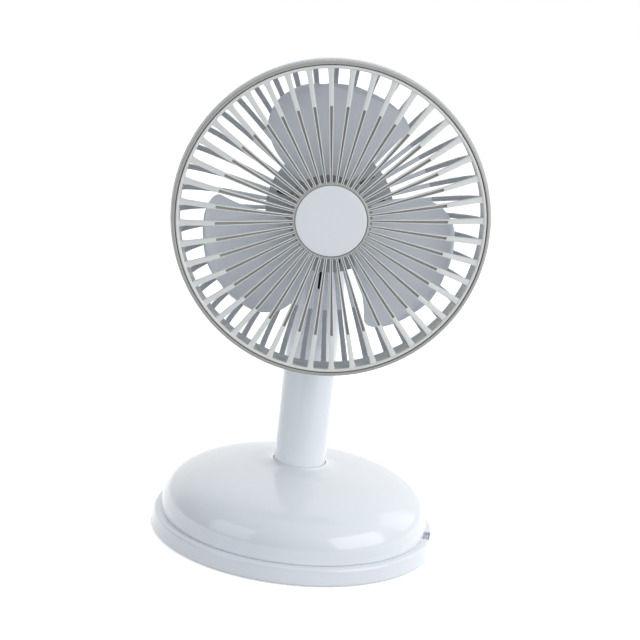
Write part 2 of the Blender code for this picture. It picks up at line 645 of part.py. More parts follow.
def blade_mesh(name):
    """One blade: a grid bent to the outline, pitched and cambered."""
    columns = 6
    radii = [edge[0] for edge in BLADE_EDGES]
    bm = bmesh.new()
    bmesh.ops.create_grid(bm, x_segments=len(radii) - 1, y_segments=columns, size=1.0)
    for vert in bm.verts:
        radius = radii[round((vert.co.x + 1) / 2 * (len(radii) - 1))]
        across = (vert.co.y + 1) / 2
        trailing, leading = blade_span(radius)
        angle = trailing + (leading - trailing) * across
        height = 0.0455 + 0.0070 * (1 - 2 * across) + 0.0020 * math.sin(math.pi * across)
        vert.co = (radius * math.cos(angle), radius * math.sin(angle), height)
    return finish_bmesh(name, bm)


def build_impeller(impeller_axis):
    profile = [
        (0, 0.0580), (0.0050, 0.0580), (0.0068, 0.0556), (0.0200, 0.0546), (HUB_RADIUS, 0.0528),
        (HUB_RADIUS, 0.0332), (0.0174, 0.0332), (0.0174, 0.0506), (0.0018, 0.0506), (0.0018, 0.0566), (0, 0.0566)]
    impeller = turned("impeller", profile, "blade_grey", impeller_axis, steps=30)
    for i in range(BLADE_COUNT):
        blade = add_tool("blade_%d" % (i + 1), blade_mesh("blade"), impeller_axis,
                         rotation=(0, 0, 2 * math.pi * i / BLADE_COUNT))
        solid = blade.modifiers.new("thickness", "SOLIDIFY")
        solid.thickness = BLADE_THICKNESS
        solid.offset = 0
        combine(impeller, blade, "UNION")
    shaft = [(0, 0.0563), (0.0012, 0.0563), (SHAFT_RADIUS, 0.0560), (SHAFT_RADIUS, 0.0298), (0, 0.0298)]
    turned("motor_shaft", shaft, "steel", impeller_axis, steps=16)
    cup = [(0.0018, 0.0502), (0.0162, 0.0502), (0.0170, 0.0494), (0.0170, 0.0336), (0.0160, 0.0336),
           (0.0160, 0.0492), (0.0018, 0.0492)]
    turned("rotor_cup", cup, "steel", impeller_axis, steps=32, closed=True)
    turned("rotor_magnet", ring_points(0.0144, 0.0157, 0.0342, 0.0440), "magnet", impeller_axis,
           steps=32, closed=True)


FINISHES = {  # color, roughness, metallic
    "white_plastic": ((0.80, 0.84, 0.90), 0.22),
    "silver_paint": ((0.68, 0.69, 0.67), 0.38),
    "trim_silver": ((0.42, 0.42, 0.40), 0.35),
    "blade_grey": ((0.60, 0.62, 0.68), 0.35),
    "switch_grey": ((0.45, 0.50, 0.58), 0.50),
    "dark_plastic": ((0.06, 0.06, 0.07), 0.50),
    "bearing_plastic": ((0.75, 0.72, 0.62), 0.40),
    "rubber": ((0.03, 0.03, 0.03), 0.85),
    "steel": ((0.55, 0.55, 0.56), 0.30, 1.0),
    "magnet": ((0.12, 0.12, 0.13), 0.55),
    "copper": ((0.55, 0.28, 0.15), 0.40, 1.0),
    "circuit_green": ((0.03, 0.20, 0.08), 0.45),
    "cell_wrap": ((0.08, 0.25, 0.50), 0.40),
    "lead_black": ((0.03, 0.03, 0.03), 0.60),
}

clear_scene()
parts = new_collection("desk_fan")
tools = new_collection("tools")
base_axis = add_empty("base_axis")
neck_axis = add_empty("neck_axis")
head_axis = add_empty("head_axis", (0, 0, HEAD_HEIGHT), (math.pi / 2, 0, 0))
impeller_axis = add_empty("impeller_axis", (0, 0, HEAD_HEIGHT), (math.pi / 2, 0, 0))
switch_axis = add_empty("switch_axis", rotation=(0, 0, SWITCH_ANGLE))
build_base(base_axis, switch_axis)
build_neck(neck_axis)
build_head(head_axis)
build_impeller(impeller_axis)
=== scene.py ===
import json
from math import acos, asin, atan2, cos, pi, radians, sin

import bpy
from mathutils import Euler, Matrix, Vector


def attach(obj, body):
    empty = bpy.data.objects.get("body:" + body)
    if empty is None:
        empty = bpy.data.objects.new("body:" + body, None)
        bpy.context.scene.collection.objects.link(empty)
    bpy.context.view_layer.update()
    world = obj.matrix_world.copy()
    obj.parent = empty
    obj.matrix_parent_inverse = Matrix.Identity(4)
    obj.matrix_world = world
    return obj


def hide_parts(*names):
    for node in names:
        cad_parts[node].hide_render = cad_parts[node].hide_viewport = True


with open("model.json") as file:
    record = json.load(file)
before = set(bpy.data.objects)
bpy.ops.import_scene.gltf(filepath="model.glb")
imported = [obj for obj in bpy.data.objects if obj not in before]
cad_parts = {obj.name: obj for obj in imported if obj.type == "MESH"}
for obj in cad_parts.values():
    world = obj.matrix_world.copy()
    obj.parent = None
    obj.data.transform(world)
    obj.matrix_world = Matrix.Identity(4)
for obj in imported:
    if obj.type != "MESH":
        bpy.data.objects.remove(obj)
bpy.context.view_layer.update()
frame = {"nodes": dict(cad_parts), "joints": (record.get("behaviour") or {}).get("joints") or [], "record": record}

mm = 0.001
mergeWithin = 0.000002     # metres, for points that lie on each other
headHeight = frame["joints"][1]["pos_m"][2]     # tilt pivot and fan axis above the table
print("frame loaded, head axis at", headHeight)


# small tools used by every piece

def deselectAll():
    if bpy.context.mode != "OBJECT":
        bpy.ops.object.mode_set(mode="OBJECT")
    bpy.ops.object.select_all(action="DESELECT")


def useOnly(piece):
    deselectAll()
    piece.select_set(True)
    bpy.context.view_layer.objects.active = piece


def bakePlace(piece):
    useOnly(piece)
    bpy.ops.object.transform_apply(location=True, rotation=True, scale=True)


def seatOnHead(piece):     # pieces built along +Z are turned to face -Y
    piece.matrix_world = Matrix.Translation((0, 0, headHeight)) @ Matrix.Rotation(pi / 2, 4, "X")
    bakePlace(piece)


def applyModifiers(piece):
    useOnly(piece)
    for modifier in list(piece.modifiers):
        bpy.ops.object.modifier_apply(modifier=modifier.name)


def smoothPiece(piece, angle=35):
    useOnly(piece)
    bpy.ops.object.shade_smooth_by_angle(angle=radians(angle))


def tidyFaces(piece):     # merge doubles, then face everything outwards
    useOnly(piece)
    bpy.ops.object.mode_set(mode="EDIT")
    bpy.ops.mesh.select_all(action="SELECT")
    bpy.ops.mesh.remove_doubles(threshold=mergeWithin)
    bpy.ops.mesh.normals_make_consistent(inside=False)
    bpy.ops.object.mode_set(mode="OBJECT")


def softenEdges(piece, width, angle, segments=3):     # width in mm, angle in degrees
    bevel = piece.modifiers.new("softEdges", "BEVEL")
    bevel.width = width * mm
    bevel.segments = segments
    bevel.limit_method = "ANGLE"
    bevel.angle_limit = radians(angle)
    applyModifiers(piece)


def turnPiece(name, rings, around=192, closed=False):     # rings are (radius, height) in mm
    deselectAll()
    startRadius, startHeight = rings[0]
    bpy.ops.mesh.primitive_circle_add(
        vertices=around, radius=startRadius * mm, fill_type="NOTHING" if closed else "NGON",
        location=(0, 0, startHeight * mm))
    piece = bpy.context.object
    piece.name = name
    bakePlace(piece)
    bpy.ops.object.mode_set(mode="EDIT")
    bpy.ops.mesh.select_all(action="SELECT")
    for (radius, height), (nextRadius, nextHeight) in zip(rings, rings[1:]):
        bpy.ops.mesh.extrude_region_move(
            TRANSFORM_OT_translate={"value": (0, 0, (nextHeight - height) * mm)})
        grow = nextRadius / radius
        bpy.ops.transform.resize(value=(grow, grow, 1), center_override=(0, 0, 0))
    if closed:
        bpy.ops.mesh.select_all(action="SELECT")
        bpy.ops.mesh.remove_doubles(threshold=mergeWithin)
    bpy.ops.object.mode_set(mode="OBJECT")
    tidyFaces(piece)
    return piece


def addBlock(name, low, high):     # corners in mm
    deselectAll()
    bpy.ops.mesh.primitive_cube_add(size=1, location=[(a + b) / 2 * mm for a, b in zip(low, high)])
    block = bpy.context.object
    block.name = name
    block.scale = [(b - a) * mm for a, b in zip(low, high)]
    bakePlace(block)
    return block


def clearPicks(piece):     # nothing in the mesh is selected, so faces or edges can be picked one by one
    useOnly(piece)
    bpy.ops.object.mode_set(mode="EDIT")
    bpy.ops.mesh.select_all(action="DESELECT")
    bpy.ops.object.mode_set(mode="OBJECT")


def pickFaces(piece, isWanted):     # leaves the piece in edit mode with the wanted faces selected
    clearPicks(piece)
    for face in piece.data.polygons:
        face.select = isWanted(face)
    bpy.ops.object.mode_set(mode="EDIT")


def roundAlongY(block, width):     # rounds the four long edges of a block that lies along Y
    clearPicks(block)
    points = block.data.vertices
    for edge in block.data.edges:
        first, second = (points[i].co for i in edge.vertices)
        edge.select = abs(first.x - second.x) + abs(first.z - second.z) < 0.1 * mm
    bpy.ops.object.mode_set(mode="EDIT")
    bpy.ops.mesh.select_mode(type="EDGE")
    bpy.ops.mesh.bevel(offset=width * mm, segments=6)
    bpy.ops.mesh.select_mode(type="VERT")
    bpy.ops.object.mode_set(mode="OBJECT")
    return block


def addRod(name, radius, low, high, place=(0, 0), around=48):
    deselectAll()
    bpy.ops.mesh.primitive_cylinder_add(
        vertices=around, radius=radius * mm, depth=(high - low) * mm,
        location=(place[0] * mm, place[1] * mm, (low + high) / 2 * mm))
    rod = bpy.context.object
    rod.name = name
    bakePlace(rod)
    return rod


def spinCopies(piece, count, step, start=0.0):     # real copies round the Z axis, joined with the first
    copies = []
    for i in range(count):
        extra = piece.copy()
        extra.data = piece.data.copy()
        bpy.context.collection.objects.link(extra)
        extra.rotation_euler = (0, 0, start + step * i)
        copies.append(extra)
    bpy.data.objects.remove(piece)
    return joinPieces(copies)


def joinPieces(group):
    useOnly(group[0])
    for piece in group[1:]:
        piece.select_set(True)
    bpy.ops.object.join()
    joined = bpy.context.object
    bakePlace(joined)
    return joined


def carve(piece, cutter, operation="DIFFERENCE"):
    boolean = piece.modifiers.new("carve", "BOOLEAN")
    boolean.operation = operation
    boolean.object = cutter
    applyModifiers(piece)
    bpy.data.objects.remove(cutter)


def sweepBar(name, stations):     # (radius, height, width, depth) in mm; the bar runs along +X
    deselectAll()
    bpy.ops.mesh.primitive_plane_add(size=1, rotation=(0, pi / 2, 0))
    bar = bpy.context.object
    bar.name = name
    bakePlace(bar)
    bpy.ops.object.mode_set(mode="EDIT")
    bpy.ops.mesh.select_all(action="SELECT")
    slopes = []
    for i in range(len(stations)):
        before = stations[max(i - 1, 0)]
        after = stations[min(i + 1, len(stations) - 1)]
        slopes.append(atan2(after[1] - before[1], after[0] - before[0]))
    radius, height, width, depth = stations[0]
    bpy.ops.transform.resize(value=(1, width * mm, depth * mm), center_override=(0, 0, 0))
    bpy.ops.transform.rotate(value=slopes[0], orient_axis="Y", center_override=(0, 0, 0))
    bpy.ops.transform.translate(value=(radius * mm, 0, height * mm))
    for i in range(1, len(stations)):
        newRadius, newHeight, newWidth, newDepth = stations[i]
        bpy.ops.mesh.extrude_region_move(TRANSFORM_OT_translate={
            "value": ((newRadius - radius) * mm, 0, (newHeight - height) * mm)})
        pivot = (newRadius * mm, 0, newHeight * mm)
        bpy.ops.transform.rotate(value=-slopes[i - 1], orient_axis="Y", center_override=pivot)
        bpy.ops.transform.resize(value=(1, newWidth / width, newDepth / depth), center_override=pivot)
        bpy.ops.transform.rotate(value=slopes[i], orient_axis="Y", center_override=pivot)
        radius, height, width, depth = stations[i]
    bpy.ops.object.mode_set(mode="OBJECT")
    tidyFaces(bar)
    return bar


def ringPlaces(radius, count, start):     # evenly spaced places round the Z axis
    step = 2 * pi / count
    return [(radius * cos(start + step * i), radius * sin(start + step * i)) for i in range(count)]


def blendValue(low, high, t):
    return low + (high - low) * t


def arcRings(middle, radius, start, end, count):     # rings on an arc of a turned section, degrees
    rings = []
    for i in range(count + 1):
        angle = radians(blendValue(start, end, i / count))
        rings.append((middle[0] + radius * cos(angle), middle[1] + radius * sin(angle)))
    return rings


# finishes

def toLinear(value):
    value = value / 255
    return value / 12.92 if value <= 0.04045 else ((value + 0.055) / 1.055) ** 2.4


def fromScreen(colour):
    return [toLinear(channel) for channel in colour] + [1.0]


def startMaterial(name):
    material = bpy.data.materials.new(name)
    material.use_nodes = True
    tree = material.node_tree
    shader = tree.nodes["Principled BSDF"]
    place = tree.nodes.new("ShaderNodeTexCoord")
    return material, tree, shader, place.outputs["Object"]


def addNoise(tree, place, scale, detail, roughness=0.5):
    noise = tree.nodes.new("ShaderNodeTexNoise")
    noise.inputs["Scale"].default_value = scale
    noise.inputs["Detail"].default_value = detail
    noise.inputs["Roughness"].default_value = roughness
    tree.links.new(place, noise.inputs["Vector"])
    return noise.outputs["Fac"]


def spreadValue(tree, source, low, high, fromLow=0.3, fromHigh=0.7):
    spread = tree.nodes.new("ShaderNodeMapRange")
    spread.inputs["From Min"].default_value = fromLow
    spread.inputs["From Max"].default_value = fromHigh
    spread.inputs["To Min"].default_value = low
    spread.inputs["To Max"].default_value = high
    tree.links.new(source, spread.inputs["Value"])
    return spread.outputs["Result"]


def mixColours(tree, factor, first, second):
    mix = tree.nodes.new("ShaderNodeMix")
    mix.data_type = "RGBA"
    tree.links.new(factor, mix.inputs["Factor"])
    mix.inputs["A"].default_value = first
    mix.inputs["B"].default_value = second
    return mix.outputs["Result"]


def addBump(tree, source, shader, strength, distance):
    bump = tree.nodes.new("ShaderNodeBump")
    bump.inputs["Strength"].default_value = strength
    bump.inputs["Distance"].default_value = distance
    tree.links.new(source, bump.inputs["Height"])
    tree.links.new(bump.outputs["Normal"], shader.inputs["Normal"])


def mouldedPlastic(name, colour, look):     # a skin with faint flow clouds and a fine grain
    material, tree, shader, place = startMaterial(name)
    clouds = addNoise(tree, place, look["cloudScale"], 2.0)
    grain = addNoise(tree, place, look["grainScale"], 4.0, 0.6)
    bright = fromScreen(colour)
    deep = [channel * look["cloudDepth"] for channel in bright[:3]] + [1.0]
    tint = mixColours(tree, spreadValue(tree, clouds, 0.0, 1.0), deep, bright)
    tree.links.new(tint, shader.inputs["Base Color"])
    gloss = spreadValue(tree, grain, look["roughness"] - look["glossier"],
                        look["roughness"] + look["duller"])
    tree.links.new(gloss, shader.inputs["Roughness"])
    addBump(tree, grain, shader, look["grainStrength"], look["grainHeight"])
    shader.inputs["Specular IOR Level"].default_value = look["specular"]
    shader.inputs["Coat Weight"].default_value = look["coat"]
    shader.inputs["Coat Roughness"].default_value = look["coatRoughness"]
    shader.inputs["Metallic"].default_value = look["metallic"]
    return material


plasticLook = {"cloudScale": 22, "cloudDepth": 0.965, "grainScale": 1400, "grainStrength": 0.05,
               "grainHeight": 0.00006, "roughness": 0.20, "glossier": 0.03, "duller": 0.04,
               "specular": 0.6, "coat": 1.0, "coatRoughness": 0.05, "metallic": 0.0}
silverLook = dict(plasticLook, grainScale=2600, grainStrength=0.12, roughness=0.36, specular=0.5,
                  metallic=0.12, coat=0.15, cloudDepth=0.95)
bladeLook = dict(plasticLook, roughness=0.34, coat=0.1, cloudDepth=0.94, grainStrength=0.08)
mattLook = dict(plasticLook, roughness=0.55, coat=0.0, grainScale=2200, grainStrength=0.35)
rubberLook = dict(mattLook, roughness=0.82, grainScale=1800, grainStrength=0.5, cloudDepth=0.8)
metalLook = dict(plasticLook, roughness=0.30, coat=0.0, metallic=1.0, grainScale=3000, grainStrength=0.15,
                 cloudDepth=0.85)

finishes = {
    "white_shell": mouldedPlastic("whiteShell", (231, 236, 242), plasticLook),
    "white_disc": mouldedPlastic("whiteDisc", (238, 241, 246),
                                 dict(plasticLook, roughness=0.38, coat=0.05)),
    "silver_paint": mouldedPlastic("silverPaint", (230, 231, 229), silverLook),
    "trim_silver": mouldedPlastic("trimSilver", (176, 176, 171), dict(silverLook, roughness=0.30)),
    "blade_grey": mouldedPlastic("bladeGrey", (230, 234, 242), bladeLook),
    "switch_grey": mouldedPlastic("switchGrey", (206, 214, 230), mattLook),
    "dark_plastic": mouldedPlastic("darkPlastic", (44, 44, 48), mattLook),
    "bearing_plastic": mouldedPlastic("bearingPlastic", (222, 216, 200), mattLook),
    "rubber": mouldedPlastic("padRubber", (42, 42, 44), rubberLook),
    "steel": mouldedPlastic("platedSteel", (196, 198, 200), metalLook),
    "cell_can": mouldedPlastic("cellWrap", (60, 110, 170), plasticLook),
    "lead": mouldedPlastic("leadSleeve", (34, 34, 36), mattLook),
    "board": mouldedPlastic("boardGreen", (34, 92, 54), mattLook),
    "winding": mouldedPlastic("copperWinding", (176, 104, 66), metalLook),
    "magnet": mouldedPlastic("ferriteMagnet", (70, 70, 74), mattLook),
}

# second skins of painted shade: darker colours put on the faces of a piece where shade falls
paintedShadeSkin = mouldedPlastic("paintedShadeSkin", (192, 196, 202), dict(mattLook, cloudDepth=0.9))
grooveShadeSkin = mouldedPlastic("grooveShadeSkin", (176, 176, 172), dict(silverLook, metallic=0.0, roughness=0.5))
hubShadeSkin = mouldedPlastic("hubShadeSkin", (140, 142, 146), mattLook)


def paint(piece, slotName):     # a piece that already has its own skins keeps them
    if not piece.data.materials:
        piece.data.materials.append(finishes[slotName])


def addSecondSkin(piece, skin, isWanted):
    piece.data.materials.append(skin)
    for face in piece.data.polygons:
        if isWanted(face):
            face.material_index = 1


def facesInwards(face):     # on a turned piece: looks towards the Z axis, values in metres
    return face.normal.x * face.center.x + face.normal.y * face.center.y < -0.04


slotOf = {entry["node"]: entry["material_slot"] for entry in frame["record"]["subparts"]}
for nodeName, node in frame["nodes"].items():
    node.data.materials.clear()
    node.data.materials.append(finishes[slotOf[nodeName]])
print("finishes ready:", len(finishes))


def standFor(piece, body, slotName, *nodeNames):
    paint(piece, slotName)
    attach(piece, body)
    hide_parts(*nodeNames)
    print("made", piece.name, "with", len(piece.data.polygons), "faces")


# base

dome = {"radius": 77.0, "crease": 10.0, "rise": 31.3, "power": 2.9, "rings": 34,
        "wall": 2.0, "insideRings": 12, "ceiling": 32.4, "jointGap": 0.1, "softEdge": 0.25,
        "collarRadius": 15.9, "collarTop": 43.9, "bore": 15.1,
        "sweepRadius": 28.0, "sweepDrop": 0.5, "sweepRings": 12}
chargeInlet = {"low": (-4.9, 67, 13.4), "high": (4.9, 80, 17.2), "corner": 1.6}


def domeHeight(radius):
    ratio = (radius / dome["radius"]) ** dome["power"]
    return dome["crease"] + dome["rise"] * (1 - ratio) ** (1 / dome["power"])


def domeRings(inset, rings):     # from the foot of the sweep down towards the edge
    widest = dome["radius"] - inset
    rise = dome["rise"] - inset
    start = acos((dome["sweepRadius"] / widest) ** (dome["power"] / 2))
    section = []
    for i in range(rings + 1):
        angle = start * (1 - i / rings)
        section.append((widest * cos(angle) ** (2 / dome["power"]),
                        dome["crease"] + rise * sin(angle) ** (2 / dome["power"])))
    return section[:-1]


def makeBaseShell():
    sweepFoot = domeHeight(dome["sweepRadius"])
    sweepTop = dome["collarTop"] - dome["sweepDrop"]
    rings = [(dome["bore"], dome["collarTop"]), (dome["collarRadius"], dome["collarTop"])]
    for i in range(dome["sweepRings"]):
        angle = pi / 2 * i / dome["sweepRings"]
        rings.append((dome["sweepRadius"] - (dome["sweepRadius"] - dome["collarRadius"]) * cos(angle),
                      sweepTop - (sweepTop - sweepFoot) * sin(angle)))
    rings += domeRings(0, dome["rings"])
    edge, foot, gap = dome["radius"], dome["crease"], dome["jointGap"]
    rings += [(edge, foot + 1.1), (edge, foot + 0.4), (edge - 0.1, foot + gap),
              (edge - dome["wall"], foot + gap)]     # a fine open joint above the ledge
    rings += domeRings(dome["wall"], dome["insideRings"])[::-1]
    rings += [(dome["sweepRadius"], dome["ceiling"]), (dome["bore"], dome["ceiling"]),
              (dome["bore"], dome["collarTop"])]
    shell = turnPiece("baseShell", rings, closed=True)
    softenEdges(shell, dome["softEdge"], 50)
    inlet = addBlock("inletCut", chargeInlet["low"], chargeInlet["high"])
    carve(shell, roundAlongY(inlet, chargeInlet["corner"]))
    smoothPiece(shell)
    standFor(shell, "base", "white_shell", "base_shell")


tray = {"inside": 20.0, "floor": 4.0, "underside": 1.9, "lip": (72.6, 74.2, 12.9), "ledge": 10.0,
        "sideTop": (81.02, 8.6), "sideBottom": 1.3, "sideRings": 8, "sideFlare": 1.2,
        "bottomRadius": 82.3, "standOff": 0.5, "padRadius": 60.6, "softEdge": 0.2,
        "screws": 4, "screwRing": 67.0, "screwStart": pi / 4, "sinkRadius": 3.2, "sinkTop": 2.5}
ledgeRounding = [(79.2, 0.03), (79.8, 0.12), (80.3, 0.35), (80.7, 0.75)]     # radius, drop below the ledge
slideSwitch = {"turn": radians(-11), "low": (76.6, -5.5, 6.4), "high": (79.5, 1.5, 9.7),
               "stemLow": (71.2, -3.2, 7.3), "stemSide": -0.8, "stemTop": 9.2, "stemOverlap": 0.5,
               "ribs": 4, "ribHalf": 0.3, "ribFloor": 9.3, "ribTop": 10.5, "ribDepth": 0.35,
               "softEdge": 0.1}
switchCuts = [((76.2, -6, 5.9), (79.9, 6, 14)), ((70.5, -4.6, 6.8), (76.8, 4.6, 9.7))]     # notch, stem slot


def turnToSwitch(piece):
    piece.rotation_euler = (0, 0, slideSwitch["turn"])
    bakePlace(piece)
    return piece


def makeBaseTray():
    lipInside, lipOutside, lipTop = tray["lip"]
    ledge, inside = tray["ledge"], tray["inside"]
    rings = [(inside, tray["floor"]), (lipInside, tray["floor"]), (lipInside, lipTop),
             (lipOutside, lipTop), (lipOutside, ledge)]
    rings += [(radius, ledge - drop) for radius, drop in ledgeRounding]
    rings.append(tray["sideTop"])
    for i in range(1, tray["sideRings"] + 1):
        t = i / tray["sideRings"]     # the side flares out towards the table
        rings.append((blendValue(tray["sideTop"][0], tray["bottomRadius"], t ** tray["sideFlare"]),
                      blendValue(tray["sideTop"][1], tray["sideBottom"], t)))
    rings += [(82.2, 0.8), (81.9, tray["standOff"]), (tray["padRadius"], tray["standOff"]),
              (tray["padRadius"], tray["underside"]), (inside, tray["underside"])]
    body = turnPiece("baseTray", rings)
    for place in ringPlaces(tray["screwRing"], tray["screws"], tray["screwStart"]):
        carve(body, addRod("screwSink", tray["sinkRadius"], -1, tray["sinkTop"], place))
    for low, high in switchCuts:
        carve(body, turnToSwitch(addBlock("switchCut", low, high)))
    softenEdges(body, tray["softEdge"], 55)
    smoothPiece(body)
    standFor(body, "base", "white_shell", "base_tray")


def makeSlideKnob():
    low, high = slideSwitch["low"], slideSwitch["high"]
    half, ribTop = slideSwitch["ribHalf"], slideSwitch["ribTop"]
    knob = addBlock("slideKnobPiece", low, high)
    stemHigh = (low[0] + slideSwitch["stemOverlap"], slideSwitch["stemSide"], slideSwitch["stemTop"])
    carve(knob, addBlock("knobStem", slideSwitch["stemLow"], stemHigh), "UNION")
    for i in range(slideSwitch["ribs"]):     # finger grooves over the top and down the outer face
        middle = blendValue(low[1], high[1], (i + 1) / (slideSwitch["ribs"] + 1))
        corner = (high[0] + 0.8, middle + half, ribTop)
        carve(knob, addBlock("ribCut", (low[0] - 0.7, middle - half, slideSwitch["ribFloor"]), corner))
        carve(knob, addBlock("ribCut", (high[0] - slideSwitch["ribDepth"], middle - half, 6), corner))
    softenEdges(knob, slideSwitch["softEdge"], 50, 2)
    turnToSwitch(knob)
    smoothPiece(knob)
    standFor(knob, "switch", "switch_grey", "slide_knob")


chargePort = {"low": (-4.5, 66, 13.7), "high": (4.5, 76, 16.9), "corner": 1.4, "softEdge": 0.08,
              "mouthLow": (-4.1, 69, 14.1), "mouthHigh": (4.1, 78, 16.5), "mouthCorner": 1.1,
              "tongueLow": (-3.1, 68.5, 14.95), "tongueHigh": (3.1, 74.6, 15.65), "tongueEdge": 0.12}


def makeChargePort():
    port = roundAlongY(addBlock("chargeSocket", chargePort["low"], chargePort["high"]), chargePort["corner"])
    mouth = addBlock("mouthCut", chargePort["mouthLow"], chargePort["mouthHigh"])
    carve(port, roundAlongY(mouth, chargePort["mouthCorner"]))
    softenEdges(port, chargePort["softEdge"], 50, 2)
    tongue = addBlock("contactTongue", chargePort["tongueLow"], chargePort["tongueHigh"])
    softenEdges(tongue, chargePort["tongueEdge"], 50, 2)
    port = joinPieces([port, tongue])
    smoothPiece(port)
    standFor(port, "base", "steel", "charge_port")


footPad = {"radius": 60.3, "inside": 12.0, "thickness": 1.6, "edge": 0.3,
           "grooves": (53.0, 39.0, 25.0), "grooveWidth": 2.4, "grooveDepth": 0.5, "grooveSlant": 0.4}


def makeFootPad():
    radius, top, edge = footPad["radius"], footPad["thickness"], footPad["edge"]
    half, depth, slant = footPad["grooveWidth"] / 2, footPad["grooveDepth"], footPad["grooveSlant"]
    rings = [(footPad["inside"], top), (radius - edge, top), (radius, top - edge), (radius, edge),
             (radius - edge, 0)]
    for middle in footPad["grooves"]:     # grip grooves underneath
        outside, inside = middle + half, middle - half
        rings += [(outside, 0), (outside - slant, depth), (inside + slant, depth), (inside, 0)]
    pad = turnPiece("footPadPiece", rings + [(footPad["inside"], 0)])
    smoothPiece(pad)
    standFor(pad, "base", "rubber", "foot_pad")


baseScrew = {"headRadius": 2.9, "under": 0.9, "seat": 2.2, "shank": 1.3, "tip": 13.0}
crossRecess = {"reach": 0.62, "half": 0.28, "depth": 0.7}     # reach as a share of the head's radius


def makeScrew(name, size):     # stands on its head, with a cross recess
    head, shank = size["headRadius"], size["shank"]
    under, seat, tip = size["under"], size["seat"], size["tip"]
    rings = [(head * 0.3, under), (head * 0.75, under), (head * 0.93, under + 0.12), (head, under + 0.4),
             (head, seat), (shank, seat), (shank, tip - 0.6), (shank * 0.6, tip)]
    screw = turnPiece(name, rings, around=40)
    reach, half, top = head * crossRecess["reach"], crossRecess["half"], under + crossRecess["depth"]
    for x, y in ((reach, half), (half, reach)):
        carve(screw, addBlock("crossCut", (-x, -y, under - 1), (x, y, top)))
    return screw


def ringOfScrews(name, size, radius, count, start):
    screw = makeScrew(name, size)
    screw.location = (radius * mm, 0, 0)
    bakePlace(screw)
    screws = spinCopies(screw, count, 2 * pi / count, start)
    screws.name = name
    return screws


def numberedNodes(prefix, count):
    return ["%s_%d" % (prefix, i + 1) for i in range(count)]


def makeBaseScrews():
    screws = ringOfScrews("baseScrews", baseScrew, tray["screwRing"], tray["screws"], tray["screwStart"])
    smoothPiece(screws)
    standFor(screws, "base", "steel", *numberedNodes("base_screw", tray["screws"]))


makeBaseShell()
makeBaseTray()
makeSlideKnob()
makeChargePort()
makeFootPad()
makeBaseScrews()

# stem

stem = {"radius": 14.8, "roundEnd": 88.5, "roundRings": 24, "softEdge": 0.3,
        "flangeRadius": 20.0, "flangeTop": 30.7, "flangeBottom": 27.7, "footBore": 10.5,
        "bore": 12.3, "boreTop": 172.0, "forkHalf": 4.0, "forkDrop": 11.2,
        "leadHalf": 1.2, "leadBottom": 148.0, "leadDrop": 9.0,
        "pegRadius": 1.4, "pegLength": 3.1, "pegRing": 12.6}
pivotCuts = [(-16, 16, 2.3), (9, 18, 4.0), (-18, -9, 4.0)]     # from, to and radius, across the stem


def seatAcross(piece):     # pieces built along +Z are laid along +X through the tilt pivot
    piece.matrix_world = Matrix.Translation((0, 0, headHeight)) @ Matrix.Rotation(pi / 2, 4, "Y")
    bakePlace(piece)
    return piece


def makeStem():
    centre = headHeight / mm
    fork, lead, bottom = stem["forkHalf"], stem["leadHalf"], stem["flangeBottom"]
    rings = [(stem["footBore"], bottom), (stem["flangeRadius"], bottom),
             (stem["flangeRadius"], stem["flangeTop"]), (stem["radius"], stem["flangeTop"])]
    rings += arcRings((0, centre), stem["radius"], 0, stem["roundEnd"], stem["roundRings"])
    tube = turnPiece("neckTube", rings, around=128)
    carve(tube, addRod("stemBore", stem["bore"], 20, stem["boreTop"], around=96))
    carve(tube, addBlock("forkCut", (-fork, -20, centre - stem["forkDrop"]), (fork, 20, 220)))
    carve(tube, addBlock("leadCut", (-lead, -18, stem["leadBottom"]), (lead, -5, centre - stem["leadDrop"])))
    for low, high, radius in pivotCuts:
        carve(tube, seatAcross(addRod("pivotCut", radius, low, high)))
    peg = addRod("swivelPeg", stem["pegRadius"], bottom - stem["pegLength"], bottom + 1,
                 (0, stem["pegRing"]), 24)
    carve(tube, peg, "UNION")
    softenEdges(tube, stem["softEdge"], 50)
    smoothPiece(tube)
    standFor(tube, "neck", "white_shell", "neck_tube")


tiltJoint = {"shank": 2.0, "clearance": 0.3, "headRadius": 3.4, "headTop": 11.2, "headSeat": 9.3,
             "tip": -11.5, "keyRadius": 1.45, "keyDepth": 1.2,
             "nutRadius": 3.7, "nutHigh": -9.3, "nutLow": -11.0}


def makeTiltBolt():
    shank, head, top = tiltJoint["shank"], tiltJoint["headRadius"], tiltJoint["headTop"]
    seat, tip = tiltJoint["headSeat"], tiltJoint["tip"]
    bolt = turnPiece("tiltBoltPiece", [
        (0.8, top), (2.3, top), (2.9, top - 0.25), (3.25, top - 0.7), (head, top - 1.2), (head, seat),
        (shank, seat), (shank, tip + 0.5), (shank - 0.4, tip)], around=64)
    carve(bolt, addRod("keySocket", tiltJoint["keyRadius"], top - tiltJoint["keyDepth"], top + 1, around=6))
    softenEdges(bolt, 0.08, 50, 2)
    seatAcross(bolt)
    smoothPiece(bolt)
    standFor(bolt, "neck", "steel", "tilt_bolt")
    nut = addRod("tiltNutPiece", tiltJoint["nutRadius"], tiltJoint["nutLow"], tiltJoint["nutHigh"], around=6)
    carve(nut, addRod("nutBore", shank + tiltJoint["clearance"], -14, -6))
    softenEdges(nut, 0.2, 40)
    seatAcross(nut)
    smoothPiece(nut)
    standFor(nut, "neck", "steel", "tilt_nut")


makeStem()
makeTiltBolt()

# head: rear housing

